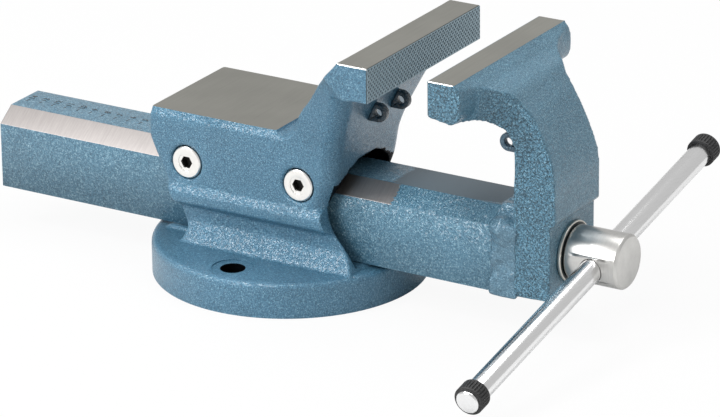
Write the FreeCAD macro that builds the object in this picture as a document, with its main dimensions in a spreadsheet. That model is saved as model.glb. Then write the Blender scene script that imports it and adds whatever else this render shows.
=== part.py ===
import FreeCAD, Part
import Sketcher
import math
import os

# Bench vise: a forged body on a round foot, a hollow slide with the front jaw welded to it,
# a spindle turning in a fixed nut, and a loose handle bar.
# Millimetres. Origin: centre of the foot's underside. +X runs along the slide towards the
# handle, +Y across the jaws, +Z up. The jaws are drawn part open.

V = FreeCAD.Vector
doc = FreeCAD.newDocument("bench_vise")

# ---------------------------------------------------------------- driving dimensions
SIZES = {
    # jaws
    "jaw_width": 150, "jaw_top": 186, "jaw_face_height": 24.6,
    "fixed_face_x": 108.2, "fixed_pad_depth": 20.8,
    "front_face_x": 153.7, "front_pad_depth": 24.8, "front_top_depth": 18.6,
    # foot
    "foot_radius": 96.2, "foot_thickness": 25, "foot_edge_radius": 4,
    "bolt_hole": 17.5, "bolt_offset": 74.5, "spot_face": 29, "spot_depth": 0.8,
    # body over the foot
    "anvil_height": 117.6, "anvil_rear": -81.8, "anvil_front": 17.2, "anvil_edge": 3.7,
    "housing_wall": 11.7, "ledge_step": 4, "ledge_height": 58, "waist_step": 4,
    "flare_height": 14, "mouth_half_width": 41.5, "mouth_rise": 44, "mouth_depth": 26,
    "neck_edge": 12,
    "pad_rise": 2.3, "pad_half_length": 79,
    # slide
    "beam_half_width": 30.5, "beam_bottom": 27.6, "beam_shoulder": 74.4, "beam_top": 84.5,
    "beam_ridge": 16.4, "beam_rear": -221.3, "beam_wall": 8.5, "column_rear": 194,
    "column_half": 33, "column_taper": 2, "column_depth": 27, "web_depth": 31,
    "column_bottom": 28,
    "collar_rear": 175.2, "collar_rise": 3.4,
    # guide
    "gib_gap": 5.8, "gib_length": 112, "gib_rear": -79, "roof_rise": 7.5,
    "adjuster_rear_x": -53.4, "adjuster_front_x": 36.2, "adjuster_z": 82,
    "adjuster_head": 22.6, "adjuster_head_depth": 5, "adjuster_thread": 12,
    "adjuster_recess": 12.4, "adjuster_key": 8, "adjuster_ring_gap": 0.9,
    # spindle and nut
    "spindle_axis": 54.7, "spindle_thread": 24, "spindle_shank": 26, "spindle_rear": -200,
    "head_diameter": 37.8, "head_front": 263.5, "head_chamfer": 1.6, "handle_x": 244.5,
    "bush_wall": 4, "washer_diameter": 42.4, "washer_thickness": 2.2,
    "collar_diameter": 36, "collar_length": 14, "pin_diameter": 6,
    "nut_rear": -22, "nut_length": 54, "nut_half_width": 18, "nut_over_axis": 16,
    "nut_screw": 10, "nut_screw_head": 17, "nut_screw_recess": 12, "nut_screw_spacing": 30,
    # handle
    "handle_diameter": 16, "handle_length": 341, "handle_reach": 186, "handle_tilt": 11.1,
    "ring_diameter": 20.6, "ring_length": 11, "ring_inset": 2,
    # pipe lugs
    "lug_diameter": 13, "lug_thickness": 5, "lug_hole": 6, "lug_offset": 14.8,
    "fixed_lug_x": 81.3, "fixed_lug_z": 132.2, "front_lug_x": 181.7, "front_lug_z": 130,
    # fits
    "running_gap": 0.05, "flat_gap": 0.1, "loose_gap": 0.3,
}

sheet = doc.addObject("Spreadsheet::Sheet", "sizes")
for row, (alias, value) in enumerate(SIZES.items(), start=1):
    sheet.set(f"A{row}", alias)
    sheet.set(f"B{row}", str(value))
    sheet.setAlias(f"B{row}", alias)
doc.recompute()

subparts = []


def size(name):
    return float(sheet.get(name))


def finish(item, label):
    """Name an object of the document as a sub-part."""
    item.Label = label
    subparts.append(item)
    return item


def shape_part(label, shape):
    """A sub-part whose shape is worked out here from the sheet."""
    item = doc.addObject("Part::Feature", label)
    item.Shape = shape
    item.Placement = FreeCAD.Placement()
    return finish(item, label)


# ---------------------------------------------------------------- drawing helpers
def origin_plane(body, role):
    return next(o for o in body.Origin.OriginFeatures if o.Role == role)


def outline_sketch(body, name, role, points):
    """A closed outline whose corners are bound to the sheet: points are pairs of expressions."""
    sketch = body.newObject("Sketcher::SketchObject", name)
    sketch.AttachmentSupport = [(origin_plane(body, role), "")]
    sketch.MapMode = "FlatFace"
    values = [[doc.sizes.evalExpression(text) for text in pair] for pair in points]
    corners = [V(float(x), float(y), 0) for x, y in values]
    for start, end in zip(corners, corners[1:] + corners[:1]):
        sketch.addGeometry(Part.LineSegment(start, end), False)
    count = len(corners)
    for index in range(count):
        sketch.addConstraint(Sketcher.Constraint("Coincident", index, 2, (index + 1) % count, 1))
    for index, (pair, corner) in enumerate(zip(points, corners)):
        for kind, text, value in zip(("DistanceX", "DistanceY"), pair, (corner.x, corner.y)):
            number = sketch.addConstraint(
                Sketcher.Constraint(kind, -1, 1, index, 1, value)
            )
            sketch.setExpression(f"Constraints[{number}]", text)
    return sketch


def padded_body(label, role, points, length, offset):
    """A PartDesign body: one outline padded by length, shifted by offset along its normal."""
    body = doc.addObject("PartDesign::Body", label)
    sketch = outline_sketch(body, label + "_outline", role, points)
    doc.recompute()
    sketch.setExpression("AttachmentOffset.Base.z", offset)
    pad = body.newObject("PartDesign::Pad", label + "_pad")
    pad.Profile = sketch
    pad.setExpression("Length", length)
    body.Tip = pad
    return finish(body, label)


def closed_face(edges):
    return Part.Face(Part.Wire(Part.__sortEdges__(edges)))


def polygon_face(points):
    return Part.Face(Part.makePolygon(points + points[:1]))


def curve(points):
    line = Part.BSplineCurve()
    line.interpolate(points)
    return line.toShape()


def box(x0, x1, y0, y1, z0, z1):
    return Part.makeBox(x1 - x0, y1 - y0, z1 - z0, V(x0, y0, z0))


def rod(radius, start, end):
    return Part.makeCylinder(radius, (end - start).Length, start, end - start)


def mirrored(points):
    """The right half of an outline in (y, z), from bottom to top, with its left half added."""
    return points + [(-y, z) for y, z in reversed(points)]



# ---------------------------------------------------------------- body forging
jaw_half = size("jaw_width") / 2
flank_half = size("beam_half_width") + size("gib_gap") + size("housing_wall")
tunnel_half = size("beam_half_width") + size("gib_gap")
anvil_z = size("anvil_height")
jaw_z = size("jaw_top")
pad_z = jaw_z - size("jaw_face_height")
fixed_x = size("fixed_face_x")
pad_back_x = fixed_x - size("fixed_pad_depth")
foot_z = size("foot_thickness")
guide_z = foot_z + size("pad_rise")
ledge_z = size("ledge_height")
roof_z = size("beam_top") + size("roof_rise")


def front_outline(shift=0.0):
    """The body's front edge seen from the side, from under the jaw down to the foot.
    It narrows to a waist at the slide and flares out again over the foot."""
    return [
        V(pad_back_x + 1 - shift, 0, pad_z - 1.4),
        V(pad_back_x - 5.4 - shift, 0, pad_z - 15.4),
        V(pad_back_x - 13.4 - shift, 0, pad_z - 33.4),
        V(pad_back_x - 18.4 - shift, 0, pad_z - 45.4),
        V(pad_back_x - 23.4 - shift, 0, pad_z - 62.4),
        V(pad_back_x - 27.4 - shift, 0, ledge_z + 22),
        V(pad_back_x - 32 - shift, 0, ledge_z + 5),
        V(pad_back_x - 28.4 - shift, 0, ledge_z - 4),
        V(pad_back_x - 22.4 - shift, 0, ledge_z - 12),
        V(pad_back_x - 13 - shift, 0, foot_z + 9),
        V(pad_back_x - 8 - shift, 0, foot_z - 1),
    ]


def neck_outline():
    """The body's rear edge from the anvil's front up to the fixed jaw."""
    front = size("anvil_front")
    run = pad_back_x - front
    rise = jaw_z - anvil_z
    shares = [(0.1, -0.05), (0.2, 0.006), (0.305, 0.21), (0.495, 0.459), (0.67, 0.693), (0.82, 0.84)]
    points = [V(front + run * a, 0, anvil_z + rise * b) for a, b in shares]
    return [V(front, 0, anvil_z)] + points + [V(pad_back_x, 0, jaw_z)]


def side_prism():
    """The body's side view drawn right across it."""
    rear = size("anvil_rear")
    low = foot_z - 1
    front = front_outline()
    rear_points = [
        V(front[-1].x, 0, low),
        V(rear + 24, 0, low),
        V(rear + 27.3, 0, foot_z + 8),
        V(rear - 0.7, 0, anvil_z - 21.6),
        V(rear - 0.7, 0, anvil_z - 5),
        V(rear - 0.2, 0, anvil_z - 1.6),
        V(rear + 0.8, 0, anvil_z),
        V(size("anvil_front"), 0, anvil_z),
    ]
    edges = [Part.makeLine(a, b) for a, b in zip(rear_points, rear_points[1:])]
    edges.append(curve(neck_outline()))
    edges.append(Part.makeLine(V(pad_back_x, 0, jaw_z), V(fixed_x - 1, 0, jaw_z)))
    edges.append(Part.makeLine(V(fixed_x - 1, 0, jaw_z), V(fixed_x - 1, 0, pad_z + 1)))
    edges.append(Part.makeLine(V(fixed_x - 1, 0, pad_z + 1), front[0]))
    edges.append(curve(front))
    face = closed_face(edges)
    face.translate(V(0, -jaw_half, 0))
    return face.extrude(V(0, 2 * jaw_half, 0))


def lower_flanks():
    """Foot flare, waist and ledge: one section in (y, z) along the whole body."""
    waist = flank_half - size("waist_step")
    ledge = flank_half + size("ledge_step")
    flare_top = foot_z + size("flare_height")
    half = [
        (ledge, foot_z - 1),
        (ledge - 0.4, foot_z + 0.5),
        (waist, flare_top),
        (waist, ledge_z - 8.5),
        (ledge - 1, ledge_z - 5),
        (ledge, ledge_z - 3.5),
        (ledge, ledge_z + 3),
        (flank_half, ledge_z + 8),
    ]
    points = [V(-size("foot_radius"), y, z) for y, z in mirrored(half)]
    return polygon_face(points).extrude(V(2 * size("foot_radius"), 0, 0))


def upper_flanks():
    """Housing and neck: the sides flare out to the jaw's width along lines that fall
    at 45 degrees towards the front."""
    spread = jaw_half - flank_half
    wide = pad_back_x + pad_z
    low = V(0, flank_half, ledge_z + 8 - 2 * size("foot_radius"))
    flare = [
        V(0, flank_half, wide - 92),
        V(0, flank_half + 0.1 * spread, wide - 76),
        V(0, flank_half + 0.33 * spread, wide - 47),
        V(0, flank_half + 0.66 * spread, wide - 17),
        V(0, jaw_half, wide),
    ]
    high = V(0, jaw_half, 3 * jaw_z)
    right = [Part.makeLine(low, flare[0]), curve(flare), Part.makeLine(flare[-1], high)]
    left = [edge.mirror(V(0, 0, 0), V(0, 1, 0)) for edge in right]
    across = [
        Part.makeLine(V(0, -low.y, low.z), low),
        Part.makeLine(V(0, -high.y, high.z), high),
    ]
    face = closed_face(right + left + across)
    reach = 3 * size("foot_radius")
    face.translate(V(-reach / 2, 0, reach / 2))
    return face.extrude(V(reach, 0, -reach))


def fixed_pad():
    """The serrated jaw block, with the corner between its top and its back rounded off."""
    return box(pad_back_x, fixed_x, -jaw_half, jaw_half, pad_z, jaw_z)


def foot():
    """The round foot, its guide strip under the slide, and its two bolt holes."""
    disc = Part.makeCylinder(size("foot_radius"), foot_z)
    rim = [edge for edge in disc.Edges if abs(edge.BoundBox.ZMin - foot_z) < 1e-6]
    disc = disc.makeFillet(size("foot_edge_radius"), [e for e in rim if len(e.Vertexes) == 1])
    length = size("pad_half_length")
    strip = box(-length, length, -tunnel_half + 2, tunnel_half - 2, foot_z - 1, guide_z)
    return disc.fuse(strip)


def slide_tunnel():
    """Straight tunnel for the slide and gibs, opened to a bell mouth at the front."""
    rear = size("anvil_rear") - 20
    mouth_x = pad_back_x - 25
    inner_x = mouth_x - size("mouth_depth")
    straight = box(rear, pad_back_x + 20, -tunnel_half, tunnel_half, guide_z, roof_z)
    wide = size("mouth_half_width")
    rise = size("mouth_rise")
    turns = [math.radians(15 * step) for step in range(7)]
    spring = roof_z - 40
    outer = [(wide, guide_z)] + [(wide * math.cos(a), spring + rise * math.sin(a)) for a in turns]
    inner = [(tunnel_half, guide_z)] + [
        (tunnel_half * min(1, 1.6 * math.cos(a)), spring + (roof_z - spring) * min(1, 1.6 * math.sin(a)))
        for a in turns
    ]
    rings = [
        Part.makePolygon([V(x, y, z) for y, z in mirrored(half[:-1]) + half[:1]])
        for x, half in ((inner_x, inner), (mouth_x, outer))
    ]
    bell = Part.makeLoft(rings, True, True)
    ahead = Part.Face(rings[1]).extrude(V(60, 0, 0))
    return straight.fuse([bell, ahead])


def adjuster_places():
    """Where the four gib adjusting screws sit: (name, x, side)."""
    sides = (("near", -1), ("far", 1))
    rows = (("rear", size("adjuster_rear_x")), ("front", size("adjuster_front_x")))
    return [(f"{side}_{row}", x, sign) for side, sign in sides for row, x in rows]


def adjuster_holes():
    head_radius = size("adjuster_head") / 2 + size("adjuster_ring_gap")
    thread_radius = size("adjuster_thread") / 2 + size("running_gap")
    z = size("adjuster_z")
    shoulder = flank_half - size("adjuster_head_depth")
    cuts = []
    for _, x, side in adjuster_places():
        cuts.append(rod(head_radius, V(x, side * shoulder, z), V(x, side * (flank_half + 9), z)))
        cuts.append(rod(thread_radius, V(x, side * (tunnel_half - 1), z), V(x, side * flank_half, z)))
    return cuts


def nut_screw_places():
    middle = size("nut_rear") + size("nut_length") / 2
    return [middle - size("nut_screw_spacing") / 2, middle + size("nut_screw_spacing") / 2]


def foot_holes():
    cuts = []
    for side in (-1, 1):
        y = side * size("bolt_offset")
        cuts.append(rod(size("bolt_hole") / 2, V(0, y, -1), V(0, y, foot_z + 20)))
        cuts.append(rod(size("spot_face") / 2, V(0, y, foot_z - size("spot_depth")), V(0, y, foot_z + 20)))
    head_radius = size("nut_screw_head") / 2 + size("loose_gap")
    shank_radius = size("nut_screw") / 2 + size("loose_gap")
    for x in nut_screw_places():
        cuts.append(rod(head_radius, V(x, 0, -1), V(x, 0, size("nut_screw_recess"))))
        cuts.append(rod(shank_radius, V(x, 0, 0), V(x, 0, guide_z + 1)))
    return cuts


def anvil_bevels():
    """The narrow slopes between the anvil's ground top and its flanks."""
    edge = size("anvil_edge")
    rear = size("anvil_rear") - 5
    front = size("anvil_front") + 8
    cuts = []
    for side in (-1, 1):
        section = [V(rear, side * (flank_half + 1), anvil_z - edge - 1.3),
                   V(rear, side * (flank_half + 1), anvil_z + 1),
                   V(rear, side * (flank_half - edge), anvil_z + 1),
                   V(rear, side * (flank_half - edge), anvil_z),
                   V(rear, side * flank_half, anvil_z - edge - 1.3)]
        cuts.append(polygon_face(section).extrude(V(front - rear, 0, 0)))
    return cuts


def rounded_neck(neck):
    """The neck with its two long front edges rounded, from the waist up to the jaw."""
    front = [
        edge
        for edge in neck.Edges
        if edge.BoundBox.XMin > 50
        and edge.BoundBox.ZMax < pad_z + 1
        and edge.BoundBox.ZLength > 12
        and edge.BoundBox.YMin * edge.BoundBox.YMax > 0
    ]
    return neck.makeFillet(size("neck_edge"), front)


def body_forging():
    side = side_prism()
    split = ledge_z + 8
    reach = 2 * size("foot_radius")
    below = box(-reach, reach, -reach, reach, 0, split)
    above = box(-reach, reach, -reach, reach, split, 2 * jaw_z)
    lower = side.common(below).common(lower_flanks())
    upper = rounded_neck(side.common(above).common(upper_flanks()))
    body = upper.fuse([lower, fixed_pad(), foot()])
    body = body.cut([slide_tunnel()] + adjuster_holes() + foot_holes() + anvil_bevels())
    return body.removeSplitter()


shape_part("body_forging", body_forging())

# ---------------------------------------------------------------- gibs and their screws
# each gib fills the space between the tunnel's corner and the slide's sloping shoulder
gib_slope_y = "(sizes.beam_top - sizes.beam_shoulder)"
gib_slope_z = "(sizes.beam_half_width - sizes.beam_ridge)"
gib_slope = f"sqrt({gib_slope_y} ^ 2 + {gib_slope_z} ^ 2)"
gib_off_y = f"sizes.loose_gap * {gib_slope_y} / {gib_slope}"
gib_off_z = f"sizes.loose_gap * {gib_slope_z} / {gib_slope}"
gib_outer = "(sizes.beam_half_width + sizes.gib_gap - sizes.loose_gap)"
gib_top = "(sizes.beam_top + sizes.roof_rise - sizes.loose_gap)"
for name, sign in (("gib_near", "-1"), ("gib_far", "1")):
    padded_body(
        name,
        "YZ_Plane",
        [
            (f"{sign} * {gib_outer}", "sizes.beam_shoulder - 2"),
            (f"{sign} * {gib_outer}", gib_top),
            (f"{sign} * (sizes.beam_ridge + {gib_off_y})", gib_top),
            (f"{sign} * (sizes.beam_ridge + {gib_off_y})", f"sizes.beam_top + {gib_off_z}"),
            (f"{sign} * (sizes.beam_half_width + {gib_off_y})", f"sizes.beam_shoulder + {gib_off_z}"),
            (f"{sign} * (sizes.beam_half_width + {gib_off_y})", "sizes.beam_shoulder - 2"),
        ],
        "sizes.gib_length",
        "sizes.gib_rear",
    )


def adjuster(x, side):
    """A flat-headed screw, flush with the flank, whose tip bears on the gib."""
    z = size("adjuster_z")
    shoulder = side * (flank_half - size("adjuster_head_depth"))
    face = side * flank_half
    tip = side * (tunnel_half - size("loose_gap") + size("flat_gap"))
    head = rod(size("adjuster_head") / 2, V(x, shoulder, z), V(x, face, z))
    rim = [e for e in head.Edges if len(e.Vertexes) == 1 and abs(e.BoundBox.YMin - face) < 1e-6]
    head = head.makeChamfer(0.8, rim)
    shank = rod(size("adjuster_thread") / 2, V(x, tip, z), V(x, shoulder, z))
    recess = rod(size("adjuster_recess") / 2, V(x, face - side * 0.7, z), V(x, face + side, z))
    corner = size("adjuster_key") / math.sqrt(3)
    hexagon = [V(x + corner * math.cos(math.pi * k / 3), face - side * 6.5,
                 z + corner * math.sin(math.pi * k / 3)) for k in range(6)]
    socket = polygon_face(hexagon).extrude(V(0, side * 8, 0))
    return head.fuse(shank).cut([recess, socket])


for name, x, side in adjuster_places():
    shape_part("gib_screw_" + name, adjuster(x, side))

# ---------------------------------------------------------------- nut and its screws
nut_bottom = "sizes.foot_thickness + sizes.pad_rise"
nut_body = padded_body(
    "spindle_nut",
    "YZ_Plane",
    [
        ("-sizes.nut_half_width", nut_bottom),
        ("sizes.nut_half_width", nut_bottom),
        ("sizes.nut_half_width", "sizes.spindle_axis + 6"),
        ("sizes.nut_half_width - 8", "sizes.spindle_axis + sizes.nut_over_axis"),
        ("-(sizes.nut_half_width - 8)", "sizes.spindle_axis + sizes.nut_over_axis"),
        ("-sizes.nut_half_width", "sizes.spindle_axis + 6"),
    ],
    "sizes.nut_length",
    "sizes.nut_rear",
)
doc.recompute()


def round_pocket(body, name, role, x, y, diameter, length, offset, reverse):
    """A round hole through a body: centre, diameter, depth and start are expressions."""
    sketch = body.newObject("Sketcher::SketchObject", name + "_circle")
    sketch.AttachmentSupport = [(origin_plane(body, role), "")]
    sketch.MapMode = "FlatFace"
    at = [float(doc.sizes.evalExpression(text)) for text in (x, y)]
    radius = float(doc.sizes.evalExpression(diameter)) / 2
    sketch.addGeometry(Part.Circle(V(at[0], at[1], 0), V(0, 0, 1), radius), False)
    kinds = (("DistanceX", x, at[0]), ("DistanceY", y, at[1]))
    for kind, text, value in kinds:
        number = sketch.addConstraint(Sketcher.Constraint(kind, -1, 1, 0, 3, value))
        sketch.setExpression(f"Constraints[{number}]", text)
    number = sketch.addConstraint(Sketcher.Constraint("Diameter", 0, 2 * radius))
    sketch.setExpression(f"Constraints[{number}]", diameter)
    sketch.setExpression("AttachmentOffset.Base.z", offset)
    doc.recompute()
    pocket = body.newObject("PartDesign::Pocket", name)
    pocket.Profile = sketch
    pocket.setExpression("Length", length)
    pocket.Reversed = reverse
    before = body.Shape.Volume
    body.Tip = pocket
    doc.recompute()
    if body.Shape.Volume > before - 1:
        raise RuntimeError(f"{name} cut nothing")
    return pocket


round_pocket(
    nut_body, "nut_thread", "YZ_Plane", "0", "sizes.spindle_axis",
    "sizes.spindle_thread + 2 * sizes.running_gap",
    "sizes.nut_length + 2", "sizes.nut_rear + sizes.nut_length + 1", False,
)
for name, sign in (("rear", "-"), ("front", "+")):
    round_pocket(
        nut_body, f"nut_tapping_{name}", "XY_Plane",
        f"sizes.nut_rear + sizes.nut_length / 2 {sign} sizes.nut_screw_spacing / 2", "0",
        "sizes.nut_screw + 2 * sizes.running_gap", "12", "sizes.foot_thickness + sizes.pad_rise", True,
    )


def nut_screw(x):
    """A socket-headed screw let into the foot's underside."""
    top = size("nut_screw_recess")
    head = rod(size("nut_screw_head") / 2, V(x, 0, 1.5), V(x, 0, top))
    shank = rod(size("nut_screw") / 2, V(x, 0, top), V(x, 0, guide_z + 10))
    corner = 8 / math.sqrt(3)
    hexagon = [V(x + corner * math.cos(math.pi * k / 3), corner * math.sin(math.pi * k / 3), 0)
               for k in range(6)]
    socket = polygon_face(hexagon).extrude(V(0, 0, 6.5))
    return head.fuse(shank).cut(socket)


shape_part("nut_screws", Part.makeCompound([nut_screw(x) for x in nut_screw_places()]))

# ---------------------------------------------------------------- slide
beam_length = "sizes.column_rear - sizes.beam_rear"
beam = padded_body(
    "slide_beam",
    "YZ_Plane",
    [
        ("-sizes.beam_half_width", "sizes.beam_bottom"),
        ("-(sizes.beam_half_width - sizes.beam_wall)", "sizes.beam_bottom"),
        ("-(sizes.beam_half_width - sizes.beam_wall)", "sizes.beam_top - sizes.beam_wall"),
        ("sizes.beam_half_width - sizes.beam_wall", "sizes.beam_top - sizes.beam_wall"),
        ("sizes.beam_half_width - sizes.beam_wall", "sizes.beam_bottom"),
        ("sizes.beam_half_width", "sizes.beam_bottom"),
        ("sizes.beam_half_width", "sizes.beam_shoulder"),
        ("sizes.beam_ridge", "sizes.beam_top"),
        ("-sizes.beam_ridge", "sizes.beam_top"),
        ("-sizes.beam_half_width", "sizes.beam_shoulder"),
    ],
    beam_length,
    "sizes.beam_rear",
)


def beam_outline(grow):
    """The slide's outer section, grown by a margin: pairs of (y, z)."""
    half = size("beam_half_width") + grow
    ridge = size("beam_ridge") + 0.4 * grow
    low = size("beam_bottom") - 0.5 * grow
    shoulder = size("beam_shoulder") + 0.4 * grow
    return mirrored([(half, low), (half, shoulder), (ridge, size("beam_top") + grow)])


def weld_collar():
    """The bead run round the slide where it meets the front jaw."""
    rear = size("collar_rear")
    front = size("column_rear")
    rise = size("collar_rise")
    steps = [(rear, 0.6), (rear + 2, rise * 0.8), (rear + 5, rise), (front - 4, rise), (front, rise * 0.85)]
    rings = []
    for x, grow in steps:
        points = [V(x, y, z) for y, z in beam_outline(grow)]
        rings.append(Part.makePolygon(points + points[:1]))
    bead = Part.makeLoft(rings, True, True)
    inner = polygon_face([V(rear - 1, y, z) for y, z in beam_outline(0)])
    under = box(rear - 1, front + 1, -size("beam_half_width") + size("beam_wall"),
                size("beam_half_width") - size("beam_wall"), 0, size("beam_bottom") + 1)
    return bead.cut([inner.extrude(V(front - rear + 2, 0, 0)), under])


shape_part("beam_weld_collar", weld_collar())

# ---------------------------------------------------------------- front jaw
front_x = size("front_face_x")
column_x = size("column_rear")
axis_z = size("spindle_axis")
boss_x = column_x + size("column_depth")
web_x = column_x + size("web_depth")
bush_radius = size("spindle_shank") / 2 + size("bush_wall")


def jaw_side_prism():
    """The front jaw's side view: pad, throat, web, column and boss."""
    nose = front_x + size("front_pad_depth")
    shelf = axis_z + 28
    top = V(front_x + size("front_top_depth"), 0, jaw_z)
    outer = [
        V(nose, 0, jaw_z - 4.5),
        V(nose + 7.5, 0, jaw_z - 10),
        V(web_x - 31.5, 0, jaw_z - 14),
        V(web_x - 25.5, 0, jaw_z - 21),
        V(web_x - 19.5, 0, jaw_z - 28),
        V(web_x - 14.5, 0, jaw_z - 36),
        V(web_x - 4.9, 0, jaw_z - 56),
        V(web_x - 0.5, 0, jaw_z - 86),
    ]
    throat = [
        V(column_x, 0, pad_z - 28),
        V(column_x - 3, 0, pad_z - 19.5),
        V(column_x - 6, 0, pad_z - 14.5),
        V(column_x - 10.5, 0, pad_z - 10.5),
        V(column_x - 16, 0, pad_z - 7),
        V(column_x - 22, 0, pad_z - 3.6),
    ]
    low = size("column_bottom")
    straight = [
        outer[-1],
        V(web_x, 0, shelf + 2),
        V(web_x - 1, 0, shelf),
        V(boss_x, 0, shelf - 1.5),
        V(boss_x, 0, low + 2),
        V(boss_x - 2, 0, low),
        V(column_x, 0, low),
        throat[0],
    ]
    edges = [Part.makeLine(a, b) for a, b in zip(straight, straight[1:])]
    edges.append(curve(throat))
    face_points = [throat[-1], V(front_x, 0, pad_z), V(front_x, 0, jaw_z), top, outer[0]]
    edges += [Part.makeLine(a, b) for a, b in zip(face_points, face_points[1:])]
    edges.append(curve(outer))
    face = closed_face(edges)
    face.translate(V(0, -jaw_half, 0))
    return face.extrude(V(0, 2 * jaw_half, 0))


def jaw_plan_prism():
    """The front jaw's width: full at the face, drawn in behind it, then the column."""
    half = size("column_half")
    spread = jaw_half - half
    face_x = front_x - 25
    bend = front_x + 18.5
    flare = [
        V(bend, jaw_half, 0),
        V(bend + 3, half + 0.66 * spread, 0),
        V(bend + 6.6, half + 0.42 * spread, 0),
        V(bend + 11, half + 0.28 * spread, 0),
        V(bend + 16, half + 0.17 * spread, 0),
        V(column_x - 2, half + 0.08 * spread, 0),
        V(column_x + 3, half, 0),
    ]
    tail = [flare[-1], V(column_x + 15, half - 3, 0), V(web_x + 60, half - 4.4, 0)]
    right = [Part.makeLine(V(face_x, jaw_half, 0), flare[0]), curve(flare)]
    right += [Part.makeLine(a, b) for a, b in zip(tail, tail[1:])]
    left = [edge.mirror(V(0, 0, 0), V(0, 1, 0)) for edge in right]
    across = [
        Part.makeLine(V(face_x, -jaw_half, 0), V(face_x, jaw_half, 0)),
        Part.makeLine(V(tail[-1].x, -tail[-1].y, 0), tail[-1]),
    ]
    face = closed_face(right + left + across)
    face.translate(V(-0.2 * pad_z, 0, 0))
    return face.extrude(V(0.2 * 2 * jaw_z, 0, 2 * jaw_z))


def front_pad():
    """The front jaw block: a bar right across with a rounded nose."""
    nose = front_x + size("front_pad_depth")
    top = V(front_x + size("front_top_depth"), -jaw_half, jaw_z)
    under = V(front_x + size("front_top_depth") - 1, -jaw_half, pad_z - 2.2)
    round_nose = curve([
        top,
        V(nose - 2, -jaw_half, jaw_z - 3),
        V(nose, -jaw_half, jaw_z - 8.5),
        V(nose, -jaw_half, pad_z + 6),
        V(nose - 2, -jaw_half, pad_z + 0.5),
        under,
    ])
    low = V(front_x, -jaw_half, pad_z)
    high = V(front_x, -jaw_half, jaw_z)
    flat = [Part.makeLine(a, b) for a, b in ((under, low), (low, high), (high, top))]
    return closed_face(flat + [round_nose]).extrude(V(0, 2 * jaw_half, 0))


def column_section():
    """The column's width seen from the front, narrowing upwards, and seen from above,
    narrowing towards the handle."""
    half = size("column_half")
    taper = size("column_taper")
    low = size("column_bottom") - 5
    up = [(half, low), (half, axis_z + 45), (half - 2, axis_z + 65), (half - 4.4, pad_z - 18)]
    reach = 80
    upright = polygon_face([V(column_x, y, z) for y, z in mirrored(up)]).extrude(V(reach, 0, 0))
    plan = [(column_x, half), (web_x + 10, half - 1.4 * taper)]
    corners = [V(x, y, low) for x, y in plan] + [V(x, -y, low) for x, y in reversed(plan)]
    return upright.common(polygon_face(corners).extrude(V(0, 0, jaw_z)))


def front_jaw():
    side = jaw_side_prism()
    web = side.common(jaw_plan_prism())
    column = side.common(column_section())
    bore = rod(bush_radius + size("running_gap"), V(column_x - 1, 0, axis_z), V(web_x + 1, 0, axis_z))
    return web.fuse([column, front_pad()]).cut(bore).removeSplitter()


shape_part("front_jaw", front_jaw())


# ---------------------------------------------------------------- pipe lugs
def lug(x, y, z, root_x):
    """An upright eye on a short stem: the eye at x and z, the stem reaching to root_x."""
    radius = size("lug_diameter") / 2
    half = size("lug_thickness") / 2
    eye = rod(radius, V(x, y - half, z), V(x, y + half, z))
    stem = box(min(x, root_x), max(x, root_x), y - half, y + half, z - radius, z + radius)
    hole = rod(size("lug_hole") / 2, V(x, y - half - 1, z), V(x, y + half + 1, z))
    return eye.fuse(stem).cut(hole).removeSplitter()


def lug_pair(x, z, root_x, host):
    """Two eyes, one each side of the middle, trimmed to the forging that carries them."""
    eyes = [lug(x, side * size("lug_offset"), z, root_x) for side in (-1, 1)]
    return Part.makeCompound([eye.cut(host) for eye in eyes])


shapes = {item.Label: item.Shape for item in subparts}
fixed_lug_x = size("fixed_lug_x")
shape_part(
    "fixed_jaw_lugs",
    lug_pair(fixed_lug_x, size("fixed_lug_z"), fixed_lug_x - 10, shapes["body_forging"]),
)
shape_part(
    "front_jaw_lugs",
    lug_pair(size("front_lug_x"), size("front_lug_z"), column_x, shapes["front_jaw"]),
)


# ---------------------------------------------------------------- spindle
def ring_part(label, outer, inner, start, length):
    """A plain ring round the spindle's axis; all sizes are expressions."""
    body = doc.addObject("PartDesign::Body", label)
    sketch = body.newObject("Sketcher::SketchObject", label + "_circles")
    sketch.AttachmentSupport = [(origin_plane(body, "YZ_Plane"), "")]
    sketch.MapMode = "FlatFace"
    axis = size("spindle_axis")
    for index, text in enumerate((outer, inner)):
        diameter = float(doc.sizes.evalExpression(text))
        sketch.addGeometry(Part.Circle(V(0, axis, 0), V(0, 0, 1), diameter / 2), False)
        number = sketch.addConstraint(Sketcher.Constraint("Diameter", index, diameter))
        sketch.setExpression(f"Constraints[{number}]", text)
        number = sketch.addConstraint(Sketcher.Constraint("DistanceY", -1, 1, index, 3, axis))
        sketch.setExpression(f"Constraints[{number}]", "sizes.spindle_axis")
        sketch.addConstraint(Sketcher.Constraint("PointOnObject", index, 3, -2))
    sketch.setExpression("AttachmentOffset.Base.z", start)
    doc.recompute()
    pad = body.newObject("PartDesign::Pad", label + "_pad")
    pad.Profile = sketch
    pad.setExpression("Length", length)
    body.Tip = pad
    return finish(body, label)


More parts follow.
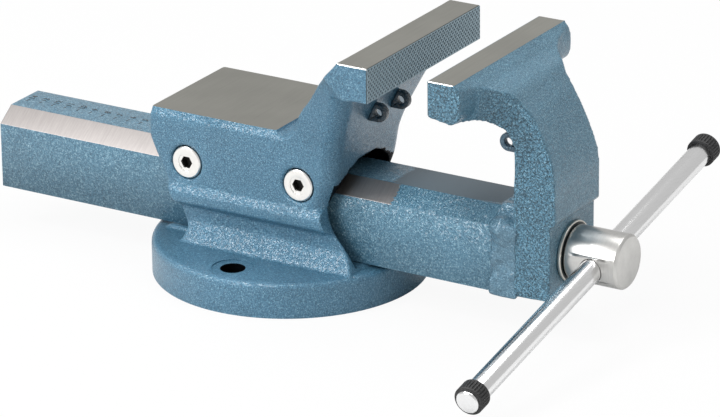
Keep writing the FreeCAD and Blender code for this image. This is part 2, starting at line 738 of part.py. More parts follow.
boss_front = "sizes.column_rear + sizes.column_depth"
head_rear = f"{boss_front} + sizes.washer_thickness + 2 * sizes.flat_gap"
rear_stack = "sizes.column_rear - sizes.flat_gap - sizes.washer_thickness"
shank_hole = "sizes.spindle_shank + 2 * sizes.running_gap"
ring_part("spindle_bush", "sizes.spindle_shank + 2 * sizes.bush_wall", shank_hole,
          "sizes.column_rear", "sizes.column_depth")
ring_part("thrust_washer_front", "sizes.washer_diameter", shank_hole,
          f"{boss_front} + sizes.flat_gap", "sizes.washer_thickness")
ring_part("thrust_washer_rear", "sizes.collar_diameter", shank_hole, rear_stack,
          "sizes.washer_thickness")
collar_body = ring_part("retaining_collar", "sizes.collar_diameter", shank_hole,
                        f"{rear_stack} - sizes.flat_gap - sizes.collar_length", "sizes.collar_length")
pin_x = f"{rear_stack} - sizes.flat_gap - sizes.collar_length / 2"
round_pocket(
    collar_body, "collar_pin_hole", "XY_Plane", pin_x, "0",
    "sizes.pin_diameter + 2 * sizes.running_gap", "sizes.collar_diameter + 2",
    "sizes.spindle_axis + sizes.collar_diameter / 2 + 1", False,
)


def cylinder(name, radius, height, x, y, z, along_x=True):
    """A Part cylinder bound to the sheet, lying along +X or standing."""
    item = doc.addObject("Part::Cylinder", name)
    if along_x:
        item.Placement.Rotation = FreeCAD.Rotation(V(0, 1, 0), 90)
    item.setExpression("Radius", radius)
    item.setExpression("Height", height)
    for axis, text in zip("xyz", (x, y, z)):
        item.setExpression(f"Placement.Base.{axis}", text)
    return item


pin = cylinder("collar_pin", "sizes.pin_diameter / 2", "sizes.collar_diameter - 1", pin_x, "0",
               "sizes.spindle_axis - sizes.collar_diameter / 2 + 0.5", along_x=False)
finish(pin, "collar_pin")

# the spindle: thread, shank and head turned in one piece, drilled for the pin and the handle
head = cylinder("spindle_head_blank", "sizes.head_diameter / 2", f"sizes.head_front - ({head_rear})",
                head_rear, "0", "sizes.spindle_axis")
doc.recompute()
chamfered = doc.addObject("Part::Chamfer", "spindle_head")
chamfered.Base = head
rims = [number for number, edge in enumerate(head.Shape.Edges, start=1) if len(edge.Vertexes) == 1]
chamfered.Edges = [(number, size("head_chamfer"), size("head_chamfer")) for number in rims]
shank_rear = f"{rear_stack} - sizes.collar_length - 12"
shank = cylinder("spindle_shank_rod", "sizes.spindle_shank / 2", f"{head_rear} + 1 - ({shank_rear})",
                 shank_rear, "0", "sizes.spindle_axis")
thread = cylinder("spindle_thread_rod", "sizes.spindle_thread / 2",
                  f"{shank_rear} + 1 - sizes.spindle_rear", "sizes.spindle_rear", "0",
                  "sizes.spindle_axis")
blank = doc.addObject("Part::MultiFuse", "spindle_blank")
blank.Shapes = [chamfered, shank, thread]
pin_drill = cylinder("spindle_pin_drill", "sizes.pin_diameter / 2 + sizes.running_gap",
                     "2 * sizes.collar_diameter", pin_x, "0",
                     "sizes.spindle_axis - sizes.collar_diameter", along_x=False)
handle_drill = doc.addObject("Part::Cylinder", "spindle_handle_drill")
handle_drill.setExpression("Radius", "sizes.handle_diameter / 2 + sizes.loose_gap")
handle_drill.setExpression("Height", "2 * sizes.head_diameter")
tilt = size("handle_tilt")
handle_drill.Placement.Rotation = FreeCAD.Rotation(V(1, 0, 0), tilt - 90)
handle_drill.setExpression("Placement.Base.x", "sizes.handle_x")
handle_drill.setExpression("Placement.Base.y", "-sizes.head_diameter * cos(sizes.handle_tilt * 1 deg)")
handle_drill.setExpression(
    "Placement.Base.z",
    "sizes.spindle_axis - sizes.head_diameter * sin(sizes.handle_tilt * 1 deg)",
)
drills = doc.addObject("Part::MultiFuse", "spindle_drills")
drills.Shapes = [pin_drill, handle_drill]
spindle = doc.addObject("Part::Cut", "spindle")
spindle.Base = blank
spindle.Tool = drills
finish(spindle, "spindle")

# ---------------------------------------------------------------- handle
bar_dir = V(0, math.cos(math.radians(tilt)), math.sin(math.radians(tilt)))
bar_axis = V(size("handle_x"), 0, axis_z)


def along_bar(distance):
    """The point this far from the spindle's axis along the handle."""
    return bar_axis + bar_dir * distance


def handle_bar():
    near = -size("handle_reach")
    bar = rod(size("handle_diameter") / 2, along_bar(near), along_bar(near + size("handle_length")))
    rims = [edge for edge in bar.Edges if len(edge.Vertexes) == 1]
    return bar.makeChamfer(0.8, rims)


def handle_ring(start):
    """A push-on end ring with eased edges."""
    end = start + size("ring_length")
    ring = rod(size("ring_diameter") / 2, along_bar(start), along_bar(end))
    ring = ring.makeFillet(1, [edge for edge in ring.Edges if len(edge.Vertexes) == 1])
    bore = rod(size("handle_diameter") / 2 + size("running_gap"), along_bar(start - 1), along_bar(end + 1))
    return ring.cut(bore)


bar_end = size("handle_length") - size("handle_reach")
shape_part("handle_bar", handle_bar())
shape_part("handle_ring_near", handle_ring(size("ring_inset") - size("handle_reach")))
shape_part("handle_ring_far", handle_ring(bar_end - size("ring_inset") - size("ring_length")))

# ---------------------------------------------------------------- check and write
doc.recompute()
for item in doc.Objects:
    bad = [state for state in item.State if state in ("Invalid", "Error")]
    if bad:
        raise RuntimeError(f"{item.Label}: {bad}")
os.makedirs("parts", exist_ok=True)
for item in subparts:
    shape = item.Shape
    if shape.isNull() or not shape.isValid() or not shape.Solids:
        raise RuntimeError(f"{item.Label} has no valid solid")
    shape.exportStep(f"parts/{item.Label}.step")
    print(f"{item.Label}: {len(shape.Solids)} solid, {shape.Volume / 1000:.1f} cm3")
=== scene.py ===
import math

import bpy
import bmesh
import numpy as np
from mathutils import Matrix, Vector


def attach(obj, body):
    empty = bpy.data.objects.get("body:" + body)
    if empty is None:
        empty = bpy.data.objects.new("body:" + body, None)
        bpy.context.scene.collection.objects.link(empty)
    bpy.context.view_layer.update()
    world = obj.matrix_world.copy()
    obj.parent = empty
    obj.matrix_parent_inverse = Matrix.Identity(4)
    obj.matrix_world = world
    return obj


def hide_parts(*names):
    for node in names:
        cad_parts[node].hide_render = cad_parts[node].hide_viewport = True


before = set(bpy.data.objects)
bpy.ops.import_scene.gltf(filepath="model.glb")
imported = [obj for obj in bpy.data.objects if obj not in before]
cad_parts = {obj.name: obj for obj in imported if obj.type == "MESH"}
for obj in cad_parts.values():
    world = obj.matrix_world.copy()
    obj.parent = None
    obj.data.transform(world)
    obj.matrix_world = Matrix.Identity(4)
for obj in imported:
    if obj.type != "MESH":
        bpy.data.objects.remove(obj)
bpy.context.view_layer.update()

# Studio ---------------------------------------------------------------------------------
# A long-lens view from the handle's side, over a white sweep, under large soft lamps.
# The camera looks at a point over the foot's front half.
scene = bpy.context.scene
scene.view_settings.view_transform = "Standard"
azimuth, elevation, roll = (math.radians(a) for a in (31.275, 21.346, -0.657))
look_at = Vector((0.05607, 0.00026, 0.05293))
distance = 3.13465
forward = Vector((-math.sin(azimuth) * math.cos(elevation),
                  math.cos(azimuth) * math.cos(elevation), -math.sin(elevation)))
level = Vector((math.cos(azimuth), math.sin(azimuth), 0))
upward = level.cross(forward)
right = math.cos(roll) * level + math.sin(roll) * upward
upward = right.cross(forward)
camera_data = bpy.data.cameras.new("camera")
camera_data.sensor_width = 36
camera_data.lens = 229.55
camera_data.clip_end = 30
camera = bpy.data.objects.new("camera", camera_data)
camera.matrix_world = Matrix((
    (right.x, upward.x, -forward.x, look_at.x - forward.x * distance),
    (right.y, upward.y, -forward.y, look_at.y - forward.y * distance),
    (right.z, upward.z, -forward.z, look_at.z - forward.z * distance),
    (0, 0, 0, 1)))
scene.collection.objects.link(camera)
scene.camera = camera


def linear(code):
    """An sRGB hex colour as linear red, green, blue and alpha."""
    values = np.array([int(code[i:i + 2], 16) for i in (1, 3, 5)]) / 255
    values = np.where(values <= 0.04045, values / 12.92, ((values + 0.055) / 1.055) ** 2.4)
    return (*values.tolist(), 1.0)


def node(tree, kind, inputs=None, **settings):
    """One shader node: settings are its properties, inputs its sockets' values or links."""
    item = tree.nodes.new(kind)
    for name, value in settings.items():
        setattr(item, name, value)
    for name, value in (inputs or {}).items():
        if isinstance(value, bpy.types.NodeSocket):
            tree.links.new(value, item.inputs[name])
        else:
            item.inputs[name].default_value = value
    return item


def new_material(name):
    """An empty node material, its tree and its output node."""
    material = bpy.data.materials.new(name)
    material.use_nodes = True
    tree = material.node_tree
    tree.nodes.clear()
    return material, tree, tree.nodes.new("ShaderNodeOutputMaterial")


def add_lamp(name, place, aim, width, height, watts, tint="#ffffff"):
    """A soft rectangular lamp at place, turned to face aim."""
    data = bpy.data.lights.new(name, "AREA")
    data.shape = "RECTANGLE"
    data.size = width
    data.size_y = height
    data.energy = watts
    data.color = linear(tint)[:3]
    lamp = bpy.data.objects.new(name, data)
    lamp.location = place
    lamp.rotation_euler = (Vector(aim) - Vector(place)).to_track_quat("-Z", "Y").to_euler()
    scene.collection.objects.link(lamp)
    return lamp


world = bpy.data.worlds.new("studio")
world.use_nodes = True
scene.world = world
tree = world.node_tree
tree.nodes.clear()
rays = node(tree, "ShaderNodeLightPath")
level_seen = node(tree, "ShaderNodeMapRange", {"Value": rays.outputs["Is Glossy Ray"],
                                               "To Min": 0.45, "To Max": 0.58})
soft = node(tree, "ShaderNodeBackground", {"Color": (1, 1, 1, 1),
                                           "Strength": level_seen.outputs[0]})
shown = node(tree, "ShaderNodeBackground", {"Color": (1, 1, 1, 1), "Strength": 1.0})
pick = node(tree, "ShaderNodeMixShader", {0: rays.outputs["Is Camera Ray"], 1: soft.outputs[0],
                                          2: shown.outputs[0]})
node(tree, "ShaderNodeOutputWorld", {"Surface": pick.outputs[0]})

add_lamp("key_lamp", (-0.9, -2.3, 1.7), (0.0, 0, 0.06), 1.3, 1.3, 48)
add_lamp("front_lamp", (2.4, -0.6, 1.0), (0.1, 0, 0.06), 1.2, 1.6, 2)
add_lamp("top_lamp", (0.5, 0.5, 2.4), (0.05, 0, 0.1), 1.8, 1.2, 30)
add_lamp("edge_lamp", (-1.2, -1.0, 2.0), (0.0, 0, 0.06), 0.7, 0.7, 24)

# backlit white paper sweep: bright from below, so that only a faint shadow shows on it
paper, tree, output = new_material("backlit_white_paper")
flat = node(tree, "ShaderNodeBsdfDiffuse", {"Color": linear("#d8d8d8")})
glow = node(tree, "ShaderNodeEmission", {"Color": (1, 1, 1, 1), "Strength": 1.0})
seen = node(tree, "ShaderNodeLightPath")
share = node(tree, "ShaderNodeMath", {0: seen.outputs["Is Camera Ray"], 1: 0.93},
             operation="MULTIPLY")
both = node(tree, "ShaderNodeMixShader", {0: share.outputs[0], 1: flat.outputs[0],
                                          2: glow.outputs[0]})
tree.links.new(both.outputs[0], output.inputs["Surface"])
floor_mesh = bpy.data.meshes.new("floor")
floor_mesh.from_pydata([(-6, -6, 0), (6, -6, 0), (6, 6, 0), (-6, 6, 0)], [], [(0, 1, 2, 3)])
floor = bpy.data.objects.new("floor", floor_mesh)
floor_mesh.materials.append(paper)
scene.collection.objects.link(floor)

# Forged body ----------------------------------------------------------------------------
# One steel drop forging: foot, housing, anvil, neck and fixed jaw. It leaves the die with
# soft edges, is dipped in hammer-finish enamel, and is ground where work or a bolt bears.


def hammer_enamel(name, dark, middle, light, cell, rough_sides=0.0, gloss=0.3):
    """Hammer-finish enamel on forged steel, sprayed: silicone in the paint draws it into
    small cells (cell, in metres). Each cell leans its own way, so that some of them flash.
    With rough_sides, faces that look along Y keep the forging's own crust under the paint:
    dented grains 2 mm across, with painted shade in the cracks between them and painted light on the
    grains."""
    material, tree, output = new_material(name)
    coords = node(tree, "ShaderNodeTexCoord")
    place = coords.outputs["Object"]
    grain = node(tree, "ShaderNodeTexNoise", {"Vector": place, "Scale": 0.8 / cell, "Detail": 3.0,
                                              "Roughness": 0.75})
    cells = node(tree, "ShaderNodeTexVoronoi", {"Vector": place, "Scale": 1 / cell,
                                                "Randomness": 1.0})
    cloud = node(tree, "ShaderNodeTexNoise", {"Vector": place, "Scale": 32.0, "Detail": 3.0})
    fleck = node(tree, "ShaderNodeMapRange", {"Value": cells.outputs["Distance"], "From Min": 0.05,
                                              "From Max": 0.4, "To Min": 0.22, "To Max": 0.0})
    mixed = node(tree, "ShaderNodeMath", {0: grain.outputs["Fac"], 1: fleck.outputs[0]},
                 operation="ADD")
    ramp = node(tree, "ShaderNodeValToRGB", {"Fac": mixed.outputs[0]})
    ramp.color_ramp.elements[0].position = 0.34
    ramp.color_ramp.elements[0].color = linear(dark)
    ramp.color_ramp.elements[1].position = 0.84
    ramp.color_ramp.elements[1].color = linear(light)
    ramp.color_ramp.elements.new(0.56).color = linear(middle)
    tone = node(tree, "ShaderNodeMapRange", {"Value": cloud.outputs["Fac"], "From Min": 0.3,
                                             "From Max": 0.7, "To Min": 0.93, "To Max": 1.07})
    deep = node(tree, "ShaderNodeVectorMath", {0: ramp.outputs["Color"], 1: tone.outputs[0]},
                operation="MULTIPLY")
    colour, height = deep.outputs[0], mixed.outputs[0]
    if rough_sides:
        facing = node(tree, "ShaderNodeSeparateXYZ", {"Vector": coords.outputs["Normal"]})
        side = node(tree, "ShaderNodeMath", {0: facing.outputs["Y"]}, operation="ABSOLUTE")
        share = node(tree, "ShaderNodeMapRange", {"Value": side.outputs[0], "From Min": 0.35,
                                                  "From Max": 0.75, "To Min": 0.0,
                                                  "To Max": rough_sides})
        bend = node(tree, "ShaderNodeTexNoise", {"Vector": place, "Scale": 330.0, "Detail": 4.0,
                                                 "Roughness": 0.65})
        shift = node(tree, "ShaderNodeVectorMath", {0: bend.outputs["Color"], 1: (0.0055,) * 3},
                     operation="MULTIPLY")
        moved = node(tree, "ShaderNodeVectorMath", {0: place, 1: shift.outputs[0]},
                     operation="ADD")
        crust = node(tree, "ShaderNodeTexVoronoi", {"Vector": moved.outputs[0], "Scale": 440.0},
                     feature="DISTANCE_TO_EDGE")
        # painted shade: the colour darkens towards each crack and lightens on the grains
        crack = node(tree, "ShaderNodeMapRange", {"Value": crust.outputs["Distance"],
                                                  "From Min": 0.0, "From Max": 0.075,
                                                  "To Min": 0.5, "To Max": 1.24})
        shade = node(tree, "ShaderNodeMix", {0: share.outputs[0], 2: 1.0, 3: crack.outputs[0]})
        lined = node(tree, "ShaderNodeVectorMath", {0: colour, 1: shade.outputs[0]},
                     operation="MULTIPLY")
        raised = node(tree, "ShaderNodeMath", {0: share.outputs[0], 1: crack.outputs[0]},
                      operation="MULTIPLY")
        both = node(tree, "ShaderNodeMath", {0: raised.outputs[0], 1: 1.6, 2: height},
                    operation="MULTIPLY_ADD")
        colour, height = lined.outputs[0], both.outputs[0]
    bump = node(tree, "ShaderNodeBump", {"Height": height, "Strength": 0.9, "Distance": 0.0008})
    normal = node(tree, "ShaderNodeNewGeometry").outputs["Normal"]
    random = node(tree, "ShaderNodeVectorMath", {0: cells.outputs["Color"], 1: (0.5,) * 3},
                  operation="SUBTRACT")
    scatter = node(tree, "ShaderNodeVectorMath", {0: random.outputs[0], 1: (0.5,) * 3,
                                                  2: normal}, operation="MULTIPLY_ADD")
    facet = node(tree, "ShaderNodeVectorMath", {0: scatter.outputs[0]}, operation="NORMALIZE")
    paint = node(tree, "ShaderNodeBsdfPrincipled", {
        "Base Color": colour, "Metallic": 0.25, "Roughness": gloss, "Normal": bump.outputs[0],
        "Coat Weight": 0.65, "Coat Roughness": 0.13, "Coat Normal": facet.outputs[0]})
    tree.links.new(paint.outputs[0], output.inputs["Surface"])
    return material


enamel = hammer_enamel("hammer_finish_enamel", "#2f586f", "#4c7e9a", "#9ecadd", 0.00085)


def ground_steel(name, colour, roughness, across, along, depth=0.00004):
    """Bare steel with the fine straight scratches of a grinder: scratches a fraction of a
    millimetre apart, drawn long by stretching a noise along one axis."""
    material, tree, output = new_material(name)
    place = node(tree, "ShaderNodeTexCoord").outputs["Object"]
    stretch = node(tree, "ShaderNodeMapping", {"Vector": place, "Scale": across})
    lines = node(tree, "ShaderNodeTexNoise", {"Vector": stretch.outputs[0], "Scale": 1.0,
                                              "Detail": 4.0, "Roughness": 0.7})
    wide = node(tree, "ShaderNodeTexNoise", {"Vector": place, "Scale": 22.0, "Detail": 2.0})
    tone = node(tree, "ShaderNodeMapRange", {"Value": lines.outputs["Fac"], "From Min": 0.3,
                                             "From Max": 0.7, "To Min": 1 - along,
                                             "To Max": 1 + along})
    haze = node(tree, "ShaderNodeMapRange", {"Value": wide.outputs["Fac"], "From Min": 0.3,
                                             "From Max": 0.7, "To Min": 0.94, "To Max": 1.05})
    both = node(tree, "ShaderNodeMath", {0: tone.outputs[0], 1: haze.outputs[0]},
                operation="MULTIPLY")
    tint = node(tree, "ShaderNodeVectorMath", {0: linear(colour)[:3], 1: both.outputs[0]},
                operation="MULTIPLY")
    bump = node(tree, "ShaderNodeBump", {"Height": lines.outputs["Fac"], "Strength": 0.5,
                                         "Distance": depth})
    steel = node(tree, "ShaderNodeBsdfPrincipled", {
        "Base Color": tint.outputs[0], "Metallic": 1.0, "Roughness": roughness,
        "Normal": bump.outputs[0]})
    tree.links.new(steel.outputs[0], output.inputs["Surface"])
    return material


# surface-ground across the jaws, so the scratches run along Y and are 0.3 mm apart in X
ground_top = ground_steel("surface_ground_steel", "#a09f98", 0.42, (2600, 25, 900), 0.08)


# edges broken with a fine file; their steel is made lighter than the ground faces beside them as a
# painted highlight
edge_highlight_steel = ground_steel("filed_edge_steel_painted_highlight", "#dddcd8", 0.38, (25, 900, 900), 0.03)
# steel in the bolt holes and in the slide's tunnel, painted nearly black as painted shade
hole_shade_steel = ground_steel("painted_shade_black_steel", "#12161a", 0.6, (300, 300, 300), 0.15)


def shader_of(material):
    """A material's node tree, its one shader and its output node."""
    tree = material.node_tree
    shader = next(item for item in tree.nodes if item.type == "BSDF_PRINCIPLED")
    return tree, shader, next(item for item in tree.nodes if item.type == "OUTPUT_MATERIAL")


def new_piece(name, mesh, body, slot, *nodes):
    """A finished piece: linked, riding on its body and standing for its CAD nodes."""
    piece = bpy.data.objects.new(name, mesh)
    scene.collection.objects.link(piece)
    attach(piece, body)
    if nodes:
        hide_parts(*nodes)
    return piece


def evaluated(obj):
    """The mesh of an object with its modifiers applied."""
    graph = bpy.context.evaluated_depsgraph_get()
    return bpy.data.meshes.new_from_object(obj.evaluated_get(graph), depsgraph=graph)


def box_mesh(low, high):
    """A closed box between two corners, faces outwards."""
    corners = [(x, y, z) for x in (low[0], high[0]) for y in (low[1], high[1])
               for z in (low[2], high[2])]
    faces = [(0, 1, 3, 2), (4, 6, 7, 5), (0, 4, 5, 1), (2, 3, 7, 6), (0, 2, 6, 4), (1, 5, 7, 3)]
    mesh = bpy.data.meshes.new("cutter")
    mesh.from_pydata(corners, [], faces)
    return mesh


def wedge_mesh(start, end, y, z, side, width):
    """A three-sided bar along X that takes a 45 degree chamfer of this width off the edge
    at (y, z), on the side of +Y or -Y."""
    over = 0.002
    corners = [(y - side * (width + over), z + over), (y + side * over, z + over),
               (y + side * over, z - width - over)]
    points = [(x, cy, cz) for x in (start, end) for cy, cz in corners]
    faces = [(0, 1, 2), (5, 4, 3), (0, 3, 4, 1), (1, 4, 5, 2), (2, 5, 3, 0)]
    if side < 0:
        faces = [face[::-1] for face in faces]
    mesh = bpy.data.meshes.new("wedge")
    mesh.from_pydata(points, [], faces)
    return mesh


def drum_mesh(start, end, radius, sides=96):
    """A closed cylinder between two points, faces outwards."""
    mesh = bpy.data.meshes.new("drum")
    drum = bmesh.new()
    axis = Vector(end) - Vector(start)
    turn = axis.to_track_quat("Z", "Y").to_matrix().to_4x4()
    place = Matrix.Translation((Vector(start) + Vector(end)) / 2) @ turn
    bmesh.ops.create_cone(drum, cap_ends=True, segments=sides, radius1=radius, radius2=radius,
                          depth=axis.length, matrix=place)
    drum.to_mesh(mesh)
    drum.free()
    return mesh


def forged(name, cad_node, voxel, softness, stock, cutters, share, holes=()):
    """A forging's surface from its CAD node. Faces to be machined first get some stock, and
    upright holes (x, y, radius) are drawn in. The shape is then remeshed on a grid of small
    voxels, every edge is relaxed by averaging each point with its neighbours, and faces and
    holes are machined sharp again."""
    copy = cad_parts[cad_node].data.copy()
    shell = bmesh.new()
    shell.from_mesh(copy)
    bmesh.ops.remove_doubles(shell, verts=shell.verts, dist=1e-6)
    for axis, value, extra in stock:
        for vert in shell.verts:
            if abs(vert.co[axis] - value) < 2e-5:
                vert.co[axis] += extra
    for x, y, radius in holes:
        for vert in shell.verts:
            away = math.hypot(vert.co.x - x, vert.co.y - y)
            if abs(away - radius) < 2e-5:
                vert.co.x = x + (vert.co.x - x) * 0.7
                vert.co.y = y + (vert.co.y - y) * 0.7
    shell.to_mesh(copy)
    shell.free()
    work = bpy.data.objects.new(name + "_work", copy)
    scene.collection.objects.link(work)
    remesh = work.modifiers.new("grid", "REMESH")
    remesh.mode = "VOXEL"
    remesh.voxel_size = voxel
    relax = work.modifiers.new("relax", "SMOOTH")
    relax.factor = 0.5
    relax.iterations = softness
    thin = work.modifiers.new("thin", "DECIMATE")
    thin.ratio = share
    helpers = []
    for cutter_mesh in cutters:
        cutter = bpy.data.objects.new(name + "_cutter", cutter_mesh)
        scene.collection.objects.link(cutter)
        cut = work.modifiers.new("cut", "BOOLEAN")
        cut.operation = "DIFFERENCE"
        cut.solver = "EXACT"
        cut.object = cutter
        helpers.append(cutter)
    mesh = evaluated(work)
    mesh.name = name
    for helper in helpers + [work]:
        bpy.data.objects.remove(helper)
    mesh.materials.clear()
    return mesh


def face_table(mesh):
    """Every face's centre and normal as arrays."""
    count = len(mesh.polygons)
    centre = np.empty(count * 3)
    normal = np.empty(count * 3)
    mesh.polygons.foreach_get("center", centre)
    mesh.polygons.foreach_get("normal", normal)
    return centre.reshape(-1, 3), normal.reshape(-1, 3)


def shade_smooth(mesh, degrees):
    """Smooth shading, kept sharp where two faces meet at more than this angle."""
    mesh.polygons.foreach_set("use_smooth", np.ones(len(mesh.polygons), bool))
    mesh.set_sharp_from_angle(angle=math.radians(degrees))


def flat_faces(mesh, planes):
    """True for the faces that lie in one of the planes (axis, value, way the face looks)."""
    centre, normal = face_table(mesh)
    found = np.zeros(len(centre), bool)
    for axis, value, way in planes:
        found |= (normal[:, axis] * way > 0.999) & (np.abs(centre[:, axis] - value) < 1e-5)
    return found


jaw_top = 0.186
stock = 0.003
anvil_top = 0.1176
fixed_face = 0.1082
serration_depth = 0.0008
jaw_half = 0.075
filed_width = 0.0005
bolt_offset = 0.0745
bolt_radius = 0.00875
spot_radius = 0.0145
spot_floor = 0.0242
screw_height = 0.082
recess_radius = 0.0122
screw_spots = [(x, side) for side in (-1, 1) for x in (-0.0534, 0.0362)]
body_cuts = [
    box_mesh((-0.2, -0.2, anvil_top), (0.0245, 0.2, 0.16)),
    box_mesh((0.03, -0.2, jaw_top), (0.2, 0.2, 0.3)),
    box_mesh((fixed_face - serration_depth, -0.2, 0.09), (0.2, 0.2, 0.3)),
    box_mesh((-0.2, -0.2, -0.1), (0.2, 0.2, 0.0))]
for side in (-1, 1):
    bolt_y = side * bolt_offset
    body_cuts.append(drum_mesh((0, bolt_y, -0.01), (0, bolt_y, 0.04), bolt_radius))
    body_cuts.append(drum_mesh((0, bolt_y, spot_floor), (0, bolt_y, 0.04), spot_radius))
for x, side in screw_spots:
    body_cuts.append(drum_mesh((x, side * 0.043, screw_height), (x, side * 0.06, screw_height),
                               recess_radius))
for side in (-1, 1):
    body_cuts.append(wedge_mesh(0.08, 0.12, side * jaw_half, jaw_top, side, filed_width))
body_mesh = forged("body_forging_skin", "body_forging", 0.0011, 9,
                   [(2, anvil_top, stock), (2, jaw_top, stock), (0, fixed_face, stock),
                    (2, 0.0, -stock), (2, spot_floor, 0.0008)], body_cuts, 0.3,
                   [(0, side * bolt_offset, bolt_radius) for side in (-1, 1)])
ground = flat_faces(body_mesh, [(2, anvil_top, 1), (2, jaw_top, 1),
                                (0, fixed_face - serration_depth, 1)])


def filed_edges(mesh):
    """True for the faces of the 45 degree chamfers along the ends of a jaw's top."""
    centre, normal = face_table(mesh)
    sloped = (np.abs(normal[:, 1] ** 2 - 0.5) < 0.01) & (np.abs(normal[:, 2] - 0.7071) < 0.01)
    return (sloped & (centre[:, 2] > jaw_top - 0.0012)
            & (np.abs(centre[:, 1]) > jaw_half - 0.0012))


centre, normal = face_table(body_mesh)
from_hole = np.hypot(centre[:, 0], np.abs(centre[:, 1]) - bolt_offset)
drilled = (from_hole < bolt_radius + 0.0001) & (np.abs(normal[:, 2]) < 0.3)
middle = np.abs(centre[:, 1])
inward = np.maximum(-normal[:, 1] * np.sign(centre[:, 1]), -normal[:, 2])
hollow = (middle < 0.0425) & (centre[:, 2] > 0.0285) & (centre[:, 2] < 0.0965)
hollow &= (centre[:, 0] > -0.079) & (centre[:, 0] < 0.0625) & (inward > 0.25)
hollow &= (centre[:, 0] < 0.035) | (middle < 0.0402)
finish_index = ground.astype(np.int32)
finish_index[filed_edges(body_mesh)] = 2
# the bolt holes' walls and the tunnel's inward faces take the near-black painted shade
finish_index[drilled | hollow] = 3
body_mesh.materials.append(enamel)
body_mesh.materials.append(ground_top)
body_mesh.materials.append(edge_highlight_steel)
body_mesh.materials.append(hole_shade_steel)
body_mesh.polygons.foreach_set("material_index", finish_index)
shade_smooth(body_mesh, 35)
new_piece("body_forging_skin", body_mesh, "vise_body", "blue_enamel", "body_forging")

# Serrated jaw faces ---------------------------------------------------------------------
# The gripping faces carry two sets of raised lines that cross at right angles, 45 degrees to
# the jaw, with sunken diamonds between them. The lines carry painted light, the diamonds painted
# shade.


def serrated_steel(name, base, tip):
    """Rolled tool steel, with painted light on the lines and painted shade in the diamonds. The
    colour follows the depth below the lines, from x = base to x = tip."""
    material, tree, output = new_material(name)
    place = node(tree, "ShaderNodeTexCoord").outputs["Object"]
    parts = node(tree, "ShaderNodeSeparateXYZ", {"Vector": place})
    depth = node(tree, "ShaderNodeMapRange", {"Value": parts.outputs["X"], "From Min": base,
                                              "From Max": tip})
    ramp = node(tree, "ShaderNodeValToRGB", {"Fac": depth.outputs[0]})
    # painted shade at the bottom of the diamonds, painted light on the raised lines
    ramp.color_ramp.elements[0].position = 0.1
    ramp.color_ramp.elements[0].color = linear("#1d2a34")
    ramp.color_ramp.elements[1].position = 0.95
    ramp.color_ramp.elements[1].color = linear("#9db0b9")
    steel = node(tree, "ShaderNodeBsdfPrincipled", {"Base Color": ramp.outputs["Color"],
                                                    "Metallic": 0.8, "Roughness": 0.42})
    tree.links.new(steel.outputs[0], output.inputs["Surface"])
    return material


def serration(name, face, way, bottom, body):
    """A block of serration on a jaw face at x = face that looks along way. Raised lines
    follow y + z = k q and y - z = k q with q = 3.8 mm, and between them lie sunken diamonds.
    Each set gives r(t) = 1 - |2 frac(t / q) - 1|, which is 0 on its lines. The depth below
    the face is min(r(y + z), r(y - z), 0.75) - 0.2, at least 0, as a share of the whole,
    and it fades to 0 over the last 0.8 mm before the block's border."""
    pitch = 0.0038
    wide = jaw_half - 0.0004
    y = np.linspace(-wide, wide, 374)
    z = np.linspace(bottom + 0.0006, jaw_top - 0.0003, 61)
    yy, zz = np.meshgrid(y, z, indexing="ij")
    ridge_up = 1 - np.abs(2 * np.mod((yy + zz) / pitch, 1) - 1)
    ridge_down = 1 - np.abs(2 * np.mod((yy - zz) / pitch, 1) - 1)
    sunk = np.maximum(np.minimum(np.minimum(ridge_up, ridge_down), 0.75) - 0.2, 0)
    inset = np.minimum(wide - np.abs(yy), np.minimum(zz - z[0], z[-1] - zz))
    height = 1 - sunk / 0.55 * np.clip(inset / 0.0008, 0, 1)
    root = face - way * serration_depth
    xx = root + way * (0.00008 + height * (serration_depth - 0.00008))
    rows, columns = yy.shape
    points = np.stack([xx, yy, zz], axis=-1).reshape(-1, 3)
    index = np.arange(rows * columns).reshape(rows, columns)
    quads = np.stack([index[:-1, :-1], index[1:, :-1], index[1:, 1:], index[:-1, 1:]],
                     axis=-1).reshape(-1, 4)
    border = np.concatenate([index[:, 0], index[-1, 1:], index[-2::-1, -1], index[0, -2:0:-1]])
    under = points[border].copy()
    under[:, 0] = root
    first = len(points)
    loop = np.arange(len(border))
    after = np.roll(loop, -1)
    skirt = np.stack([border[after], border[loop], first + loop, first + after], axis=-1)
    faces = np.concatenate([quads, skirt])
    if way < 0:
        faces = faces[:, ::-1]
    back = (first + loop)[::-1] if way > 0 else first + loop
    mesh = bpy.data.meshes.new(name)
    mesh.from_pydata(np.concatenate([points, under]).tolist(), [],
                     faces.tolist() + [back.tolist()])
    mesh.materials.append(serrated_steel(name + "_cut_steel", root, face))
    return new_piece(name, mesh, body, "ground_steel")


serration("fixed_jaw_serration", fixed_face, 1, 0.1614, "vise_body")
front_face = 0.1537
serration("front_jaw_serration", front_face, -1, 0.1616, "slide")

# Front jaw ------------------------------------------------------------------------------
# The moving forging: a bar across the top, a web that draws in to the column, and the boss
# that carries the spindle. Its sides keep the crust of the forging; its web was smoothed.
front_mesh = forged("front_jaw_skin", "front_jaw", 0.0011, 4,
                    [(2, jaw_top, stock), (0, front_face, -stock)],
                    [box_mesh((0.1, -0.2, jaw_top), (0.3, 0.2, 0.3)),
                     box_mesh((0.1, -0.2, 0.09), (front_face + serration_depth, 0.2, 0.3)),
                     box_mesh((0.2208, -0.2, 0.0), (0.3, 0.2, 0.0815)),
                     wedge_mesh(0.1, 0.1728, -jaw_half, jaw_top, -1, filed_width),
                     wedge_mesh(0.1, 0.1728, jaw_half, jaw_top, 1, filed_width),
                     drum_mesh((0.18, 0, 0.0547), (0.24, 0, 0.0547), 0.01705)], 0.5)
ground = flat_faces(front_mesh, [(2, jaw_top, 1), (0, front_face + serration_depth, -1)])
